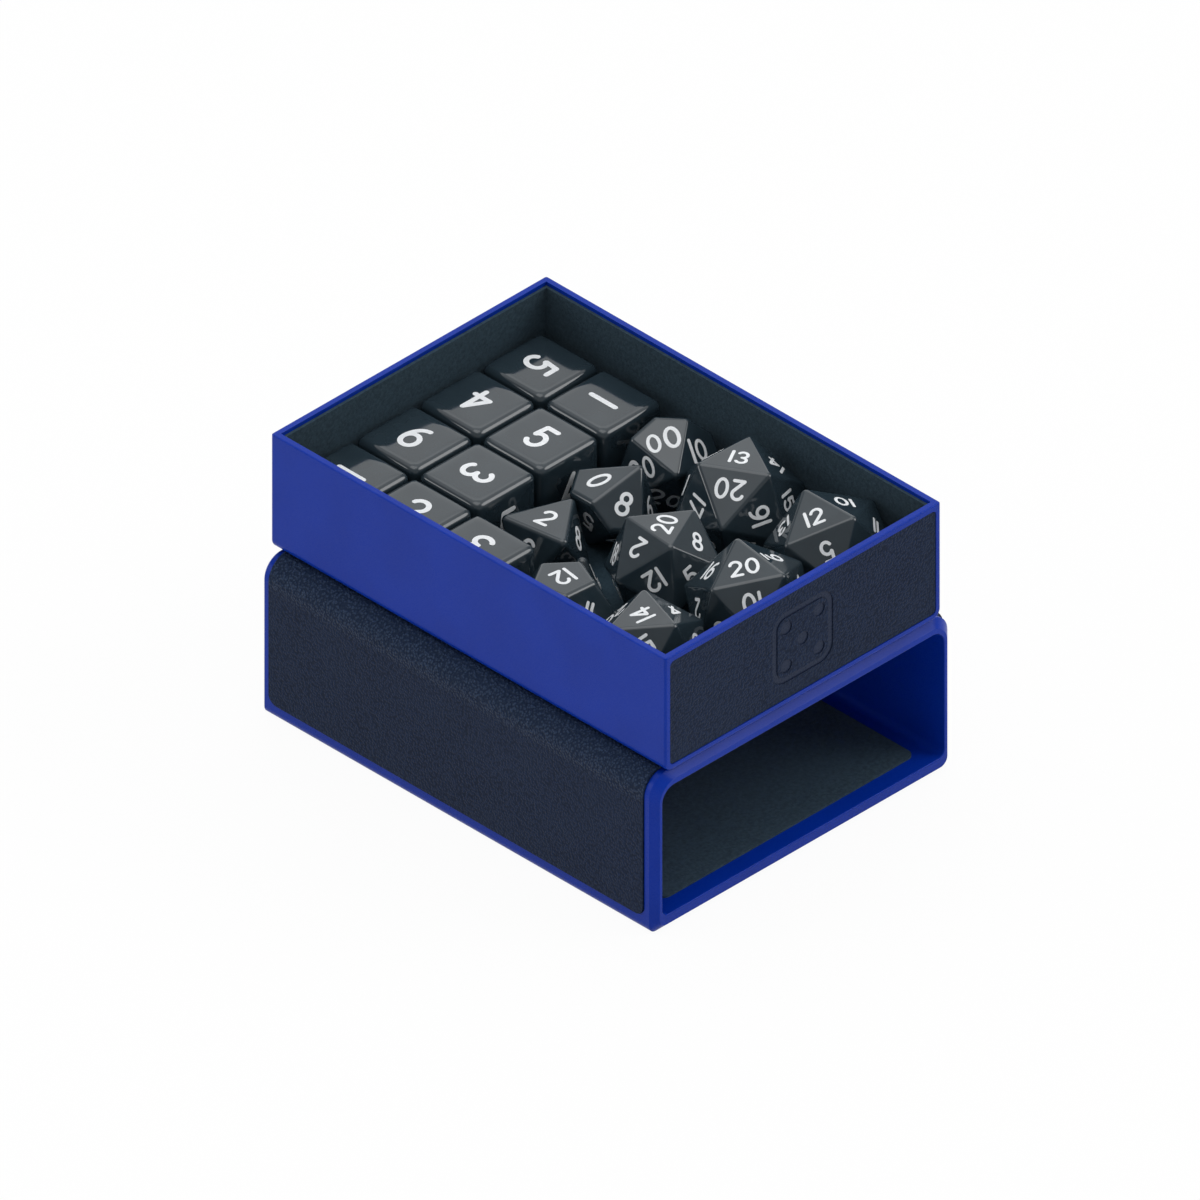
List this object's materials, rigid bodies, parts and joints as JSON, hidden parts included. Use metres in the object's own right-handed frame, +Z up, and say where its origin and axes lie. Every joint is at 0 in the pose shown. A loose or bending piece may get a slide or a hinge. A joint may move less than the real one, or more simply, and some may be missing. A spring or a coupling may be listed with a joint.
{
  "type": "dice box",
  "caption": "Slide-in dice box: a leatherette-wrapped plastic sleeve, open at both ends, with its lined tray of loose polyhedral dice standing on top.",
  "frame": {"origin": "on the table below the middle of the sleeve, in the middle of the sleeve's flat underside", "axes": "+Z up; Y along the sleeve and tray, with the motif end facing -Y; X across the box"},
  "size_m": [0.0774, 0.1018, 0.0601],
  "materials": {
    "sleeve_plastic": "satin moulded blue plastic",
    "tray_plastic": "satin moulded blue plastic",
    "leatherette": "fine-grained dark slate leatherette",
    "lining": "matt dark slate microfibre",
    "dice_resin": "polished dark slate resin with white numerals"
  },
  "bodies": {
    "sleeve": {"sleeve_shell": "sleeve_plastic", "sleeve_wrap": "leatherette", "sleeve_floor_lining": "lining"},
    "tray": {"tray_shell": "tray_plastic", "tray_front_panel": "leatherette", "tray_back_panel": "leatherette", "tray_floor_lining": "lining", "tray_front_lining": "lining", "tray_back_lining": "lining", "tray_left_lining": "lining", "tray_right_lining": "lining"},
    "d4": {"d4": "dice_resin"},
    "d8": {"d8": "dice_resin"},
    "d10": {"d10": "dice_resin"},
    "d10_tens": {"d10_tens": "dice_resin"},
    "d12": {"d12": "dice_resin"},
    "d20_1": {"d20_1": "dice_resin"},
    "d20_2": {"d20_2": "dice_resin"},
    "d20_3": {"d20_3": "dice_resin"},
    "d20_4": {"d20_4": "dice_resin"},
    "d20_5": {"d20_5": "dice_resin"},
    "d6_1": {"d6_1": "dice_resin"},
    "d6_2": {"d6_2": "dice_resin"},
    "d6_3": {"d6_3": "dice_resin"},
    "d6_4": {"d6_4": "dice_resin"},
    "d6_5": {"d6_5": "dice_resin"},
    "d6_6": {"d6_6": "dice_resin"},
    "d6_7": {"d6_7": "dice_resin"},
    "d6_8": {"d6_8": "dice_resin"},
    "d6_9": {"d6_9": "dice_resin"}
  },
  "joints": [
    {"name": "tray_slide", "type": "slide", "parent": "sleeve", "child": "tray", "axis": [0, -1, 0], "range_m": [0, 0.103]},
    {"name": "d4_lift", "type": "slide", "parent": "tray", "child": "d4", "axis": [0, 0, 1], "range_m": [0, 0.03]},
    {"name": "d8_lift", "type": "slide", "parent": "tray", "child": "d8", "axis": [0, 0, 1], "range_m": [0, 0.03]},
    {"name": "d10_lift", "type": "slide", "parent": "tray", "child": "d10", "axis": [0, 0, 1], "range_m": [0, 0.03]},
    {"name": "d10_tens_lift", "type": "slide", "parent": "tray", "child": "d10_tens", "axis": [0, 0, 1], "range_m": [0, 0.03]},
    {"name": "d12_lift", "type": "slide", "parent": "tray", "child": "d12", "axis": [0, 0, 1], "range_m": [0, 0.03]},
    {"name": "d20_1_lift", "type": "slide", "parent": "tray", "child": "d20_1", "axis": [0, 0, 1], "range_m": [0, 0.03]},
    {"name": "d20_2_lift", "type": "slide", "parent": "tray", "child": "d20_2", "axis": [0, 0, 1], "range_m": [0, 0.03]},
    {"name": "d20_3_lift", "type": "slide", "parent": "tray", "child": "d20_3", "axis": [0, 0, 1], "range_m": [0, 0.03]},
    {"name": "d20_4_lift", "type": "slide", "parent": "tray", "child": "d20_4", "axis": [0, 0, 1], "range_m": [0, 0.03]},
    {"name": "d20_5_lift", "type": "slide", "parent": "tray", "child": "d20_5", "axis": [0, 0, 1], "range_m": [0, 0.03]},
    {"name": "d6_1_lift", "type": "slide", "parent": "tray", "child": "d6_1", "axis": [0, 0, 1], "range_m": [0, 0.03]},
    {"name": "d6_2_lift", "type": "slide", "parent": "tray", "child": "d6_2", "axis": [0, 0, 1], "range_m": [0, 0.03]},
    {"name": "d6_3_lift", "type": "slide", "parent": "tray", "child": "d6_3", "axis": [0, 0, 1], "range_m": [0, 0.03]},
    {"name": "d6_4_lift", "type": "slide", "parent": "tray", "child": "d6_4", "axis": [0, 0, 1], "range_m": [0, 0.03]},
    {"name": "d6_5_lift", "type": "slide", "parent": "tray", "child": "d6_5", "axis": [0, 0, 1], "range_m": [0, 0.03]},
    {"name": "d6_6_lift", "type": "slide", "parent": "tray", "child": "d6_6", "axis": [0, 0, 1], "range_m": [0, 0.03]},
    {"name": "d6_7_lift", "type": "slide", "parent": "tray", "child": "d6_7", "axis": [0, 0, 1], "range_m": [0, 0.03]},
    {"name": "d6_8_lift", "type": "slide", "parent": "tray", "child": "d6_8", "axis": [0, 0, 1], "range_m": [0, 0.03]},
    {"name": "d6_9_lift", "type": "slide", "parent": "tray", "child": "d6_9", "axis": [0, 0, 1], "range_m": [0, 0.03]}
  ]
}
